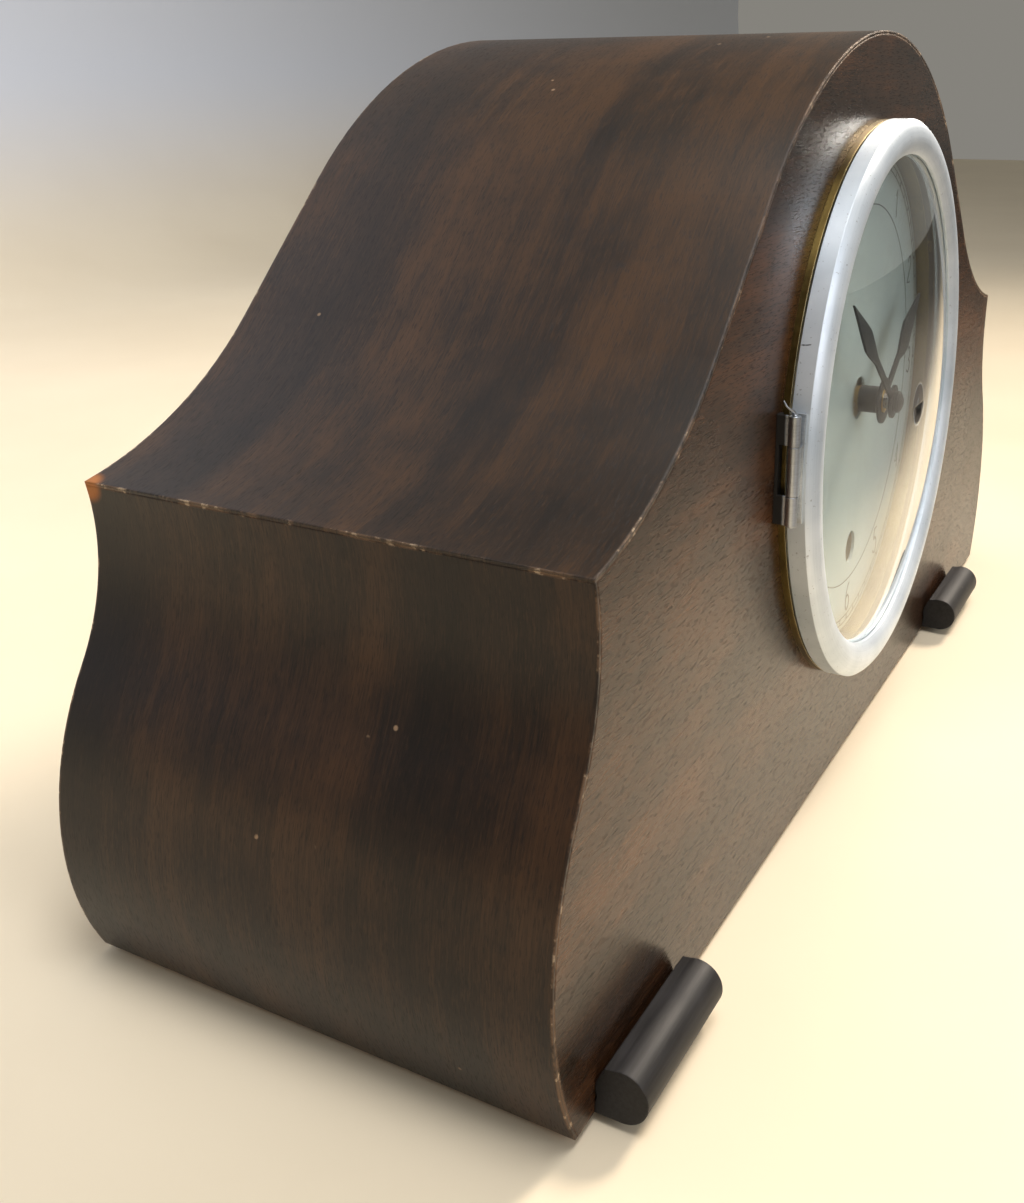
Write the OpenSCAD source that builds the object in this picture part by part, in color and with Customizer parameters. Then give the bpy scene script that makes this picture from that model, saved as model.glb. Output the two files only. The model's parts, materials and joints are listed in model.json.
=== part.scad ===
// Tambour mantel clock: veneered case, hinged bezel, and a going-barrel timepiece movement.
// Frame: +Z up, the dial faces -Y, origin at the centre of the footprint, millimetres.
// Depths are given as f, the distance in front of the case's face (negative is behind it).

/* [Case] */
// Depth of the case, face to back
case_depth = 120.5; // [110:0.5:130]
// Height of the case without its pads
case_h = 202; // [198:1:206]
// Radius of the crown arc
crown_r = 125; // [122:1:128]
// Height of the shoulder corners above the case's bottom edge
shoulder_h = 108.4; // [106:0.2:110]
// Radius of the hollow sweep that runs from the crown out to each shoulder
sweep_r = 102; // [98:1:106]
// Slope of the top where it meets the shoulder corner, degrees
shoulder_deg = 10; // [6:1:14]
// Half width over the bulge of the ogee ends
bulge_half_w = 187.2; // [184:0.2:190]
// Height of the bulge's widest line
bulge_h = 33.5; // [30:0.5:37]
// Radius of the bulge
bulge_r = 66; // [62:1:70]
// Radius of the hollow neck above the bulge
neck_r = 50; // [46:1:54]
// Height of the neck's narrowest line
neck_h = 94.5; // [92:0.5:97]
// Thickness of the veneer
veneer_t = 0.8; // [0.6:0.1:1]
// Thickness of the front panel under its veneer
front_t = 9; // [8:0.5:10]
// Thickness of the bent top panel
top_t = 4; // [3:0.5:5]
// Thickness of the back panel
back_t = 6; // [5:0.5:7]
// Thickness of the base board
base_t = 9; // [8:0.5:10]

/* [Feet] */
// Height of the pads under the case
pad_h = 2; // [1.5:0.1:2.5]
// Radius of a pad
pad_r = 8; // [6:0.5:9]
// Length of a front bar
bar_len = 38; // [34:1:44]
// Radius of a front bar's nose
bar_r = 5.5; // [5.2:0.1:5.5]
// How far a front bar stands out of the face
bar_reach = 11.1; // [11:0.1:12]
// Distance of the left bar's outer end from the case's bottom corner
bar_in_left = 8; // [6:1:14]
// Distance of the right bar's outer end from the case's bottom corner
bar_in_right = 46; // [40:1:50]

/* [Bezel and dial] */
// Height of the dial's centre above the case's bottom edge
dial_h = 103.5; // [102.5:0.5:105]
// Outer radius of the bezel
bezel_r = 76.2; // [75.8:0.1:76.6]
// Radius of the glass opening
sight_r = 67; // [66.6:0.1:67.4]
// Rise of the domed glass over its edge
glass_sag = 8; // [7:0.5:9]
// Thickness of the glass
glass_t = 1.6; // [1.4:0.1:1.8]
// Radius of the dial plate
dial_r = 67.6; // [67.4:0.1:67.8]
// Length of the minute hand from its centre to its tip
minute_len = 57; // [53:1:58]
// Length of the hour hand from its centre to its tip
hour_len = 44; // [40:1:46]
// Minutes past the hour that the hands show
minutes_shown = 51; // [0:1:59]
// Hour that the hands show
hour_shown = 1; // [0:1:11]

/* [Movement] */
// Distance of the winding arbor below the dial's centre
winding_drop = 44; // [43.8:0.1:44.2]
// Space between the two plates
plate_gap = 30; // [29.5:0.5:31]
// Clearance of a running fit, on the radius
running_fit = 0.05; // [0.03:0.01:0.08]
// Length from the pendulum's pivot to the middle of the bob
pendulum_len = 97; // [94:1:100]
// Radius of the bob
bob_r = 14; // [12:1:15]

/* [Hidden] */
$fn = 96;

// Colours
walnut = [0.29, 0.19, 0.13];
face_walnut = [0.40, 0.31, 0.25];
plywood = [0.72, 0.56, 0.38];
ebony = [0.07, 0.07, 0.07];
silver = [0.80, 0.82, 0.84];
brass = [0.75, 0.60, 0.30];
steel = [0.55, 0.56, 0.58];
cream = [0.80, 0.82, 0.74];

// Depth stations in front of the face
bezel_gap = 2.3;
bezel_wall = 4.3;
bevel_r = 6;
bevel_f = 3;
bevel_at = bezel_r - 4.8;
glass_seat = 6.2;
sheet_t = 0.8;
glass_reach = glass_seat + glass_sag;
door_gap = 0.3;
door_t = 5;
button_t = 1.7;
screw_head = 1.2;
back_reach = door_gap + door_t + door_gap + button_t + screw_head;

// The footprint's centre is the origin
y_face = (max(glass_reach, bar_reach) - case_depth - back_reach) / 2;
z_dial = pad_h + dial_h;
f_inner = -(veneer_t + front_t);
f_back = -case_depth;
f_back_inner = f_back + back_t;

// Centres and tangents of the case outline's arcs
bulge_c = [bulge_half_w - bulge_r, pad_h + bulge_h];
neck_rise = neck_h - bulge_h;
neck_c = bulge_c + [sqrt(pow(bulge_r + neck_r, 2) - pow(neck_rise, 2)), neck_rise];
shoulder_rise = shoulder_h - neck_h;
shoulder_x = neck_c[0] - sqrt(neck_r * neck_r - shoulder_rise * shoulder_rise);
crown_c = [0, pad_h + case_h - crown_r];
sweep_c = [shoulder_x, pad_h + shoulder_h] + sweep_r * [sin(shoulder_deg), cos(shoulder_deg)];
sweep_gap = sweep_c - crown_c;
slope_deg = atan2(sweep_gap[0], sweep_gap[1]) - acos((crown_r + sweep_r) / norm(sweep_gap));
ogee_deg = atan2(neck_rise, neck_c[0] - bulge_c[0]);
block_x = 152;
opening_r = dial_r + 1.6;
door_open_r = 68;
door_r = 74;

// Depth stations of the movement
dial_t = 0.8;
f_dial = -3;
plate_t = 2;
f_front_plate = -11.3;
f_front_in = f_front_plate - plate_t;
f_back_in = f_front_in - plate_gap;
f_back_plate = f_back_in - plate_t;
strap_t = 1.5;
pivot_r = 0.6;
arbor_r = 1.2;
round_arbor_fn = 12;

// Wheel counts and modules
great_n = 72;
great_m = 0.8;
inter_pin_n = 10;
inter_n = 72;
inter_m = 0.5;
centre_pin_n = 8;
centre_n = 96;
centre_m = 0.36;
third_pin_n = 8;
third_n = 96;
third_m = 0.32;
escape_pin_n = 8;
escape_n = 40;
escape_r = 10;
cannon_n = 12;
minute_n = 36;
minute_m = 0.5;
minute_pin_n = 10;
hour_n = 40;
hour_m = minute_m * (cannon_n + minute_n) / (minute_pin_n + hour_n);

// Arbor places in the plates, from the dial's centre
function span(m, a, b) = m * (a + b) / 2;
barrel_at = [0, -winding_drop];
barrel_span = span(great_m, great_n, inter_pin_n);
inter_span = span(inter_m, inter_n, centre_pin_n);
inter_w = (pow(barrel_span, 2) - pow(inter_span, 2) - pow(winding_drop, 2)) / (2 * winding_drop);
inter_at = [sqrt(pow(inter_span, 2) - inter_w * inter_w), inter_w];
third_span = span(centre_m, centre_n, third_pin_n);
third_at = third_span * [cos(135), sin(135)];
escape_span = span(third_m, third_n, escape_pin_n);
escape_at = [0, third_at[1] + sqrt(pow(escape_span, 2) - pow(third_at[0], 2))];
pallet_half_deg = 33.75;
pallet_at = escape_at + [0, escape_r / cos(pallet_half_deg)];
minute_span = span(minute_m, cannon_n, minute_n);
minute_at = [minute_span, 0];
plate_half_w = 38;
plate_low = -77;
plate_high = 45;
pillar_x = 33;
pillar_low = -71;
pillar_high = 39;
plate_screw_r = 1.35;
screw_hollow = 1.8;
screw_hollow_r = 3.2;
ratchet_n = 24;
ratchet_r = 11;
ratchet_root = 9.6;
click_at = barrel_at + [-12, 11.8];
click_pivot_r = 1.4;
f_ratchet = f_back_plate - 0.7;
ratchet_t = 1.8;
f_rod = f_back_plate - 11.7;
rod_r = 0.9;
z_pivot = z_dial + pallet_at[1];
z_bob = z_pivot - pendulum_len;
bob_t = 9;

// Front bars, pads and glue strips
bar_foot_x = bulge_c[0] + sqrt(bulge_r * bulge_r - bulge_h * bulge_h);
bar_back = 3.6;
bar_heel = 1.6;
pad_x = 150;
pad_inset = 14;
strip_leg = 13;
strip_h = 70;

// Back door and its turn button
door_axis_x = -door_r - 3.5;
door_axis_f = f_back - 4;
door_knuckle_r = 1.6;
door_hinge_half = 15;
door_pin_r = 0.8;
button_at = [door_r + 9, 0];
button_screw_r = 1.3;

// Base ring, bezel hinge and straps
rolled_rim = 1.7;
ring_screw_at = dial_r + 3.6;
ring_screw_deg = [30, 150, 270];
hinge_x = -bezel_r - 2.2;
hinge_f = bezel_gap + 1.9;
hinge_r = 1.4;
hinge_half = 13;
hinge_knuckle = 6;
hinge_pin_r = 0.65;
leaf_t = 0.8;
strap_z = [pillar_high, pillar_low];
strap_half = [76, 48];
strap_screw_x = [69, 41];

// Dial, hands and their pipes
winding_hole_r = 4.6;
feet_deg = [20, 160, 235];
feet_r = 34;
f_hour_hand = 3.4;
f_minute_hand = 6;
hand_t = 0.6;
hour_pipe_r = 3.4;
cannon_pipe_r = 2.2;

// Tooth forms, in modules or shares of a pitch
wheel_add = 0.7;
pinion_add = 0.45;
wheel_ded = 0.9;
pinion_ded = 1.25;
wheel_root = 0.48;
wheel_tip = 0.2;
pinion_root = 0.34;
pinion_tip = 0.22;

// Barrel, spring and winding arbor
f_great = -18;
great_t = 2;
drum_r = 24.5;
f_drum_back = -38;
spring_turns = 8;
spring_first_r = 4.9;
spring_pitch = 2.2;
square_w = 4;
f_winding_end = f_dial - dial_t - 1.2;

// Wheels of the train and under the dial
arbors = [inter_at, third_at, escape_at];
f_inter_wheel = [-41.8, -40.4];
f_centre_wheel = [-29.4, -28];
f_third_wheel = [-34.8, -33.6];
f_escape_wheel = [-38.8, -37.6];
f_cannon = [-9.4, -7.9];
f_hour_wheel = [-6.3, -5.1];

// Pallets and pendulum
pallet_clear = 0.6;
f_crutch = f_back_plate - 2.3;
crutch_drop = 30;
fork_slot = 1.2;
f_cock = f_back_plate - 5;
cock_post_x = 11;
nut_z = z_bob - bob_r - 3.4;

// ---- shared shapes ----

// A flat shape drawn in x and height, from depth f0 to depth f1
module slab(f0, f1) {
    translate([0, y_face - f0, 0]) rotate([90, 0, 0]) linear_extrude(f1 - f0) children();
}

// A flat shape drawn about the dial's centre
module dial_slab(f0, f1) {
    slab(f0, f1) translate([0, z_dial]) children();
}

// A profile drawn in radius and depth, turned about a point of the dial plane
module turned(at = [0, 0]) {
    translate([at[0], y_face, z_dial + at[1]]) rotate([90, 0, 0]) rotate_extrude() children();
}

// A profile rectangle from radius r0 to r1 and depth f0 to f1
module band(r0, r1, f0, f1) {
    translate([r0, f0]) square([r1 - r0, f1 - f0]);
}

// A round bar along the depth
module pin_y(at, r, f0, f1, sides = 48) {
    translate([at[0], y_face - f0, z_dial + at[1]]) rotate([90, 0, 0])
        cylinder(r = r, h = f1 - f0, $fn = sides);
}

// A block between two corners, given as [x, f, z]
module block(lo, hi) {
    translate([lo[0], y_face - hi[1], lo[2]])
        cube([hi[0] - lo[0], hi[1] - lo[1], hi[2] - lo[2]]);
}

// A countersunk or cheese head screw: head then shank, pointing back from f
module screw(at, f, head_r, head_t, shank_r, shank_len) {
    difference() {
        pin_y(at, head_r, f, f + head_t);
        slab(f + head_t / 2, f + head_t + 1) translate([at[0], z_dial + at[1]])
            square([2 * head_r + 1, head_r / 4], center = true);
    }
    pin_y(at, shank_r, f - shank_len, f);
}

// The same screw seen from behind the clock
module screw_from_back(at, f, head_r, head_t, shank_r, shank_len) {
    difference() {
        pin_y(at, head_r, f - head_t, f);
        slab(f - head_t - 1, f - head_t / 2) translate([at[0], z_dial + at[1]])
            square([2 * head_r + 1, head_r / 4], center = true);
    }
    pin_y(at, shank_r, f, f + shank_len);
}

// ---- case outline ----

// Region under the hat-shaped top, its surface lowered by inset
module under_hat(inset) {
    reach = sweep_c[0];
    n = [sin(slope_deg), cos(slope_deg)];
    p1 = crown_c + (crown_r - inset) * n;
    p2 = sweep_c - (sweep_r + inset) * n;
    side_z = pad_h + shoulder_h + 5;
    difference() {
        union() {
            polygon([[-reach, -1], [reach, -1], [reach, side_z], p2, p1,
                [-p1[0], p1[1]], [-p2[0], p2[1]], [-reach, side_z]]);
            intersection() {
                translate(crown_c) circle(r = crown_r - inset);
                translate([-p1[0], p1[1]]) square([2 * p1[0], crown_r]);
            }
        }
        for (side = [-1, 1]) {
            translate([side * sweep_c[0], sweep_c[1]]) circle(r = sweep_r + inset);
        }
    }
}

// Region between the ogee ends, their surface brought in by inset
module between_ends(inset) {
    tangent = bulge_c + (bulge_r - inset) * [cos(ogee_deg), sin(ogee_deg)];
    foot_rise = pad_h - bulge_c[1];
    foot_x = bulge_c[0] + sqrt(pow(bulge_r - inset, 2) - pow(foot_rise, 2));
    top_z = pad_h + case_h + 10;
    difference() {
        union() {
            polygon([[-foot_x, pad_h], [foot_x, pad_h], tangent, [shoulder_x + 4, top_z],
                [-shoulder_x - 4, top_z], [-tangent[0], tangent[1]]]);
            for (side = [-1, 1]) intersection() {
                translate([side * bulge_c[0], bulge_c[1]]) circle(r = bulge_r - inset);
                translate([side * bulge_half_w - bulge_r, pad_h])
                    square([2 * bulge_r, tangent[1] - pad_h]);
            }
        }
        for (side = [-1, 1]) {
            translate([side * neck_c[0], neck_c[1]]) circle(r = neck_r + inset);
        }
    }
}

// The whole front outline, inset all round except along the bottom
module outline(inset) {
    intersection() {
        under_hat(inset);
        between_ends(inset);
    }
}

// The half plane on one side of the clock, beyond a distance from the middle
module beyond(side, x) {
    translate([side > 0 ? x : -x - 100, -10]) square([100, 300]);
}

// ---- case parts ----

module front_panel() color(plywood) difference() {
    slab(f_inner, -veneer_t) difference() {
        outline(veneer_t);
        translate([0, z_dial]) circle(r = opening_r);
    }
    // Hollows that clear the heads of the lower plate screws
    for (side = [-1, 1]) slab(f_inner - 1, f_inner + screw_hollow)
        translate([side * pillar_x, z_dial + pillar_low]) circle(r = screw_hollow_r);
}

module back_panel() color(plywood) slab(f_back, f_back_inner) difference() {
    outline(veneer_t);
    translate([0, z_dial]) circle(r = door_open_r);
}

module top_panel() color(plywood) slab(f_back_inner, f_inner) difference() {
    outline(veneer_t);
    under_hat(veneer_t + top_t);
}

module end_block(side) {
    slab(f_back_inner, f_inner) intersection() {
        between_ends(veneer_t);
        under_hat(veneer_t + top_t);
        beyond(side, block_x);
    }
}

module end_block_left() color(plywood) end_block(-1);

module end_block_right() color(plywood) end_block(1);

module base_board() color(plywood)
    block([-block_x, f_back_inner, pad_h], [block_x, f_inner, pad_h + base_t]);

// Triangular strips glued into the corners of the case
module glue_blocks() color(plywood) {
    leg = strip_leg;
    floor_z = pad_h + base_t;
    strip_x = block_x - leg - 2;
    for (end = [0, 1]) {
        y0 = y_face - (end == 0 ? f_inner : f_back_inner);
        way = end == 0 ? 1 : -1;
        translate([-strip_x, y0, floor_z]) rotate([90, 0, 90]) linear_extrude(2 * strip_x)
            polygon([[0, 0], [way * leg, 0], [0, leg]]);
        for (side = [-1, 1]) translate([side * block_x, y0, floor_z + 1]) linear_extrude(strip_h)
            polygon([[0, 0], [-side * leg, 0], [0, way * leg]]);
    }
}

module front_veneer() color(face_walnut) slab(-veneer_t, 0) difference() {
    outline(veneer_t);
    translate([0, z_dial]) circle(r = opening_r);
}

module top_veneer() color(walnut) slab(f_back, 0) difference() {
    outline(0);
    under_hat(veneer_t);
}

module end_veneer(side) {
    slab(f_back, 0) difference() {
        intersection() {
            between_ends(0);
            under_hat(veneer_t);
            beyond(side, block_x);
        }
        between_ends(veneer_t);
    }
}

module end_veneer_left() color(walnut) end_veneer(-1);

module end_veneer_right() color(walnut) end_veneer(1);

// Ebonised bar across the foot of the face: round nose, flat sole, sloping back
module foot_bar(side) {
    nose_c = [bar_reach - bar_r, bar_r];
    low_x = side > 0 ? bar_foot_x - bar_in_right - bar_len : bar_in_left - bar_foot_x;
    translate([low_x, y_face, pad_h])
        rotate([90, 0, 90]) linear_extrude(bar_len) mirror([1, 0]) union() {
            translate(nose_c) circle(r = bar_r);
            polygon([[0, 0], [nose_c[0], 0], [nose_c[0], 2 * bar_r],
                [nose_c[0] - bar_back, 1.9 * bar_r], [0, bar_heel]]);
        }
}

module foot_bar_left() color(ebony) foot_bar(-1);

module foot_bar_right() color(ebony) foot_bar(1);

module foot_pads() color(ebony) for (side = [-1, 1]) {
    for (f = [-pad_inset, f_back + pad_inset]) translate([side * pad_x, y_face - f, 0])
        cylinder(r = pad_r, h = pad_h);
}

// ---- back door ----

// An upright round bar on the dial's level, from z0 to z1 about its centre
module upright(x, f, r, z0, z1) {
    translate([x, y_face - f, z_dial + z0]) cylinder(r = r, h = z1 - z0, $fn = 48);
}

module back_door() color(plywood)
    pin_y([0, 0], door_r, f_back - door_gap - door_t, f_back - door_gap, 96);

module door_hinge_fixed() color(brass) difference() {
    union() {
        for (z0 = [-door_hinge_half, 5]) {
            upright(door_axis_x, door_axis_f, door_knuckle_r, z0, z0 + 10);
            block([door_axis_x - door_knuckle_r, door_axis_f, z_dial + z0],
                [door_axis_x - 0.6, f_back - 0.2, z_dial + z0 + 10]);
        }
        block([door_axis_x - 15, f_back - 0.9, z_dial - door_hinge_half],
            [door_axis_x - 0.6, f_back, z_dial + door_hinge_half]);
    }
    upright(door_axis_x, door_axis_f, door_pin_r + running_fit, -20, 20);
}

module door_hinge_moving() color(brass) difference() {
    union() {
        upright(door_axis_x, door_axis_f, door_knuckle_r, -4.7, 4.7);
        block([door_axis_x, f_back - door_gap - door_t - 0.8, z_dial - 4.7],
            [door_axis_x + 6, f_back - door_gap - door_t, z_dial + 4.7]);
        block([door_axis_x + 5.5, f_back - door_gap - door_t - 0.8, z_dial - door_hinge_half],
            [door_axis_x + 17, f_back - door_gap - door_t, z_dial + door_hinge_half]);
    }
    upright(door_axis_x, door_axis_f, door_pin_r + running_fit, -20, 20);
}

module door_hinge_pin() color(steel)
    upright(door_axis_x, door_axis_f, door_pin_r, -door_hinge_half - 0.5, door_hinge_half + 0.5);

// Turn button beside the door: a boss off the panel and a tongue that swings over the door
module turn_button() color(brass) difference() {
    union() {
        pin_y(button_at, 4, f_back - door_t - 2 * door_gap, f_back - door_gap);
        slab(f_back - door_t - 2 * door_gap - button_t, f_back - door_t - 2 * door_gap)
            translate([button_at[0], z_dial]) {
                circle(r = 5);
                translate([-3.4, 0]) square([6.8, 16]);
                translate([0, 16]) circle(r = 3.4);
            }
    }
    pin_y(button_at, button_screw_r + running_fit, f_back - 20, f_back + 1);
}

// Brass wood screws of the base ring, straps, door hinge and turn button
module case_screws() color(brass) {
    for (a = ring_screw_deg) {
        screw(ring_screw_at * [cos(a), sin(a)], sheet_t, 1.7, 0.8, 0.8, 7.5);
    }
    for (i = [0, 1]) for (side = [-1, 1]) {
        screw_from_back([side * strap_screw_x[i], strap_z[i]], f_inner - strap_t, 2.6, 1, 1.2, 7);
    }
    for (w = [-10, 10]) {
        screw_from_back([door_axis_x - 9, w], f_back - 0.9, 2, 0.6, 1, 5);
    }
    screw_from_back(button_at, f_back - door_t - 2 * door_gap - button_t, 3, screw_head,
        button_screw_r, door_t + 2 * door_gap + button_t + 5);
}

// ---- bezel ----

// Dished brass ring screwed to the face: flange, rolled rim and a tube into the opening
module bezel_base_ring() color(brass) difference() {
    turned() {
        band(dial_r + 0.6, bezel_r - 0.2, 0, sheet_t);
        band(dial_r + 0.6, dial_r + 1.4, -5, sheet_t);
        band(bezel_r - 1.2, bezel_r - 0.2, 0, rolled_rim);
    }
    for (a = ring_screw_deg) pin_y(ring_screw_at * [cos(a), sin(a)], 0.9, -1, 3);
}

module bezel_ring() color(silver) turned() {
    band(bezel_r - sheet_t, bezel_r, bezel_gap, bezel_gap + bezel_wall);
    intersection() {
        difference() {
            translate([bevel_at, bevel_f]) circle(r = bevel_r);
            translate([bevel_at, bevel_f]) circle(r = bevel_r - sheet_t);
        }
        band(sight_r, bezel_r, glass_seat + 0.1, 12);
    }
}

// The domed glass, a slice of a thin sphere
module bezel_glass() color([0.8, 0.9, 0.9, 0.35]) {
    sphere_r = (sight_r * sight_r + glass_sag * glass_sag) / (2 * glass_sag);
    centre_f = glass_reach - sphere_r;
    rim_r = sight_r + 1.2;
    turned() intersection() {
        difference() {
            translate([0, centre_f]) circle(r = sphere_r, $fn = 360);
            translate([0, centre_f]) circle(r = sphere_r - glass_t, $fn = 360);
        }
        band(0, rim_r, 0, glass_reach + 1);
    }
}

// Inner ring that holds the glass in the bezel
module glass_retainer() color(silver) turned() {
    band(sight_r - 0.6, sight_r + 5.5, 3.2, 3.9);
    band(sight_r + 4.7, sight_r + 5.5, 3.2, 6.4);
}

module bezel_hinge_fixed() color(silver) difference() {
    union() {
        for (z0 = [-hinge_half, hinge_knuckle]) {
            upright(hinge_x, hinge_f, hinge_r, z0, z0 + hinge_half - hinge_knuckle);
            block([hinge_x - leaf_t / 2, 0, z_dial + z0],
                [hinge_x + leaf_t / 2, hinge_f, z_dial + z0 + hinge_half - hinge_knuckle]);
        }
        block([hinge_x - leaf_t / 2, 0, z_dial - hinge_half],
            [-bezel_r - 0.1, leaf_t, z_dial + hinge_half]);
    }
    upright(hinge_x, hinge_f, hinge_pin_r + running_fit, -20, 20);
}

module bezel_hinge_moving() color(silver) difference() {
    knuckle = hinge_knuckle - 0.2;
    union() {
        upright(hinge_x, hinge_f, hinge_r, -knuckle, knuckle);
        block([hinge_x, hinge_f + 0.5, z_dial - knuckle],
            [-bezel_r - 0.2, hinge_f + hinge_r, z_dial + knuckle]);
        intersection() {
            turned() band(bezel_r, bezel_r + 0.6, bezel_gap + 0.2, bezel_gap + 3.6);
            block([-bezel_r - 2, 0, z_dial - hinge_half], [0, 9, z_dial + hinge_half]);
        }
    }
    upright(hinge_x, hinge_f, hinge_pin_r + running_fit, -20, 20);
}

module bezel_hinge_pin() color(steel)
    upright(hinge_x, hinge_f, hinge_pin_r, -hinge_half - 0.4, hinge_half + 0.4);

// ---- dial and hands ----

// Silvered dial with three feet that pass through the front plate
module dial_plate() color(cream) {
    dial_slab(f_dial - dial_t, f_dial) difference() {
        circle(r = dial_r);
        circle(r = 6);
        translate(barrel_at) circle(r = winding_hole_r);
    }
    for (a = feet_deg) {
        pin_y(feet_r * [cos(a), sin(a)], 1.3, f_front_in, f_dial - dial_t);
    }
}

// Leaf hand pointing up: tail, stem, swelling and point
module hand_shape(len, boss_r, stem_w, leaf_w, leaf_at, hole_r, hole_fn) {
    half = [[0, stem_w], [leaf_at - 0.20, stem_w], [leaf_at - 0.08, leaf_w * 0.8],
        [leaf_at, leaf_w], [leaf_at + 0.10, leaf_w * 0.74], [0.94, leaf_w * 0.16]];
    side_points = [for (p = half) [p[1] / 2, p[0] * len]];
    difference() {
        union() {
            circle(r = boss_r, $fn = 48);
            polygon(concat(side_points, [[0, len]],
                [for (i = [len(half) - 1:-1:0]) [-side_points[i][0], side_points[i][1]]]));
        }
        circle(r = hole_r, $fn = hole_fn);
    }
}

module minute_hand() color(ebony) dial_slab(f_minute_hand, f_minute_hand + hand_t)
    rotate(-6 * minutes_shown)
        hand_shape(minute_len, 4.6, 2.2, 6.2, 0.66, cannon_pipe_r + 0.1, 12);

module hour_hand() color(ebony) dial_slab(f_hour_hand, f_hour_hand + hand_t)
    rotate(-30 * (hour_shown + minutes_shown / 60))
        hand_shape(hour_len, 6.4, 2.8, 10.5, 0.60, hour_pipe_r + 0.15, 12);

module hand_nut() color(brass) turned() difference() {
    union() {
        band(0, 3, f_minute_hand + hand_t + 0.1, f_minute_hand + hand_t + 1.3);
        intersection() {
            translate([0, f_minute_hand + hand_t - 2.2]) circle(r = 4.6);
            band(0, 2.6, f_minute_hand + hand_t + 1.2, 12);
        }
    }
    band(0, arbor_r + 0.02, 0, 8);
}

// ---- gears ----

function polar(r, a) = r * [cos(a), sin(a)];

// Points of a spur wheel: trapezoid teeth, add and ded in modules, with a tooth at angle phase
function wheel_points(n, m, add, ded, root_part, tip_part, phase) = [
    for (i = [0:n - 1]) each [
        polar(m * (n / 2 - ded), phase + (i - root_part / 2) * 360 / n),
        polar(m * (n / 2 + add), phase + (i - tip_part / 2) * 360 / n),
        polar(m * (n / 2 + add), phase + (i + tip_part / 2) * 360 / n),
        polar(m * (n / 2 - ded), phase + (i + root_part / 2) * 360 / n)
    ]
];

// A wheel's toothed outline, drawn about its own arbor
module toothed(n, m, phase) {
    polygon(wheel_points(n, m, wheel_add, wheel_ded, wheel_root, wheel_tip, phase));
}

// A pinion's leaves
module leaves(n, m, phase) {
    polygon(wheel_points(n, m, pinion_add, pinion_ded, pinion_root, pinion_tip, phase));
}

// Four windows between straight arms
module crossings(r_in, r_out, arm_w) {
    for (q = [0:3]) {
        a_in = asin(arm_w / 2 / r_in);
        a_out = asin(arm_w / 2 / r_out);
        rotate(90 * q + 20) polygon(concat(
            [for (i = [0:4]) polar(r_in, a_in + i * (90 - 2 * a_in) / 4)],
            [for (i = [8:-1:0]) polar(r_out, a_out + i * (90 - 2 * a_out) / 8)]));
    }
}

// Direction from one arbor to another, in degrees
function bearing(a, b) = atan2(b[1] - a[1], b[0] - a[0]);

// Phase that puts a gap of an n-leaf pinion towards its wheel
function gap_phase(pinion_at, wheel_at, n) = bearing(pinion_at, wheel_at) + 180 / n;

// A crossed-out wheel with a flat-sided hole
module train_wheel(at, n, m, phase, f0, f1, hole_r, hub_r, arm_w) {
    slab(f0, f1) translate(at + [0, z_dial]) difference() {
        toothed(n, m, phase);
        crossings(hub_r, m * (n / 2 - 3.6), arm_w);
        circle(r = hole_r, $fn = round_arbor_fn);
    }
}

// An arbor with its pivots in both plates
module train_arbor(at, r) {
    pin_y(at, pivot_r, f_back_plate, f_front_plate, round_arbor_fn);
    pin_y(at, r, f_back_in + 0.4, f_front_in - 0.4, round_arbor_fn);
}

// ---- plates ----

module plate_outline() {
    translate([-plate_half_w, plate_low]) square([2 * plate_half_w, plate_high - plate_low]);
}

module pillar_holes(r) {
    for (side = [-1, 1]) for (w = [pillar_low, pillar_high]) {
        translate([side * pillar_x, w]) circle(r = r);
    }
}

module front_plate() color(brass) {
    dial_slab(f_front_in, f_front_plate) difference() {
        plate_outline();
        pillar_holes(1.6);
        for (at = arbors) translate(at) circle(r = pivot_r + running_fit);
        translate(pallet_at) circle(r = pivot_r + running_fit);
        circle(r = arbor_r + running_fit);
        translate(barrel_at) circle(r = 3 + running_fit);
        for (a = feet_deg) {
            translate(feet_r * [cos(a), sin(a)]) circle(r = 1.4);
        }
    }
    pin_y(minute_at, 1, f_front_plate, f_dial - dial_t - 0.6);
}

module back_plate() color(brass) {
    dial_slab(f_back_plate, f_back_in) difference() {
        plate_outline();
        pillar_holes(1.6);
        for (at = arbors) translate(at) circle(r = pivot_r + running_fit);
        circle(r = pivot_r + running_fit);
        translate(barrel_at) circle(r = 3 + running_fit);
        translate(pallet_at) circle(r = 3);
    }
    pin_y(click_at, click_pivot_r, f_ratchet - ratchet_t - 1.3, f_back_plate);
}

module plate_pillars() color(brass) for (side = [-1, 1]) {
    for (w = [pillar_low, pillar_high]) difference() {
        pin_y([side * pillar_x, w], 3.2, f_back_in, f_front_in);
        pin_y([side * pillar_x, w], 1.4, f_back_in - 1, f_back_in + 8);
        pin_y([side * pillar_x, w], 1.4, f_front_in - 8, f_front_in + 1);
    }
}

module plate_screws() color(steel) for (side = [-1, 1]) {
    for (w = [pillar_low, pillar_high]) {
        screw([side * pillar_x, w], f_inner, 2.6, 1.2, plate_screw_r, 9);
        screw_from_back([side * pillar_x, w], f_back_plate, 2.6, 1.6, plate_screw_r, 7);
    }
}

// Two steel straps that carry the movement across the opening
module mount_straps() color(steel) for (i = [0, 1]) {
    slab(f_inner - strap_t, f_inner) translate([0, z_dial + strap_z[i]]) difference() {
        square([2 * strap_half[i], 10], center = true);
        for (x = [strap_screw_x[i], pillar_x]) for (side = [-1, 1]) {
            translate([side * x, 0]) circle(r = 1.45);
        }
    }
}

// ---- barrel and winding ----

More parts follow.
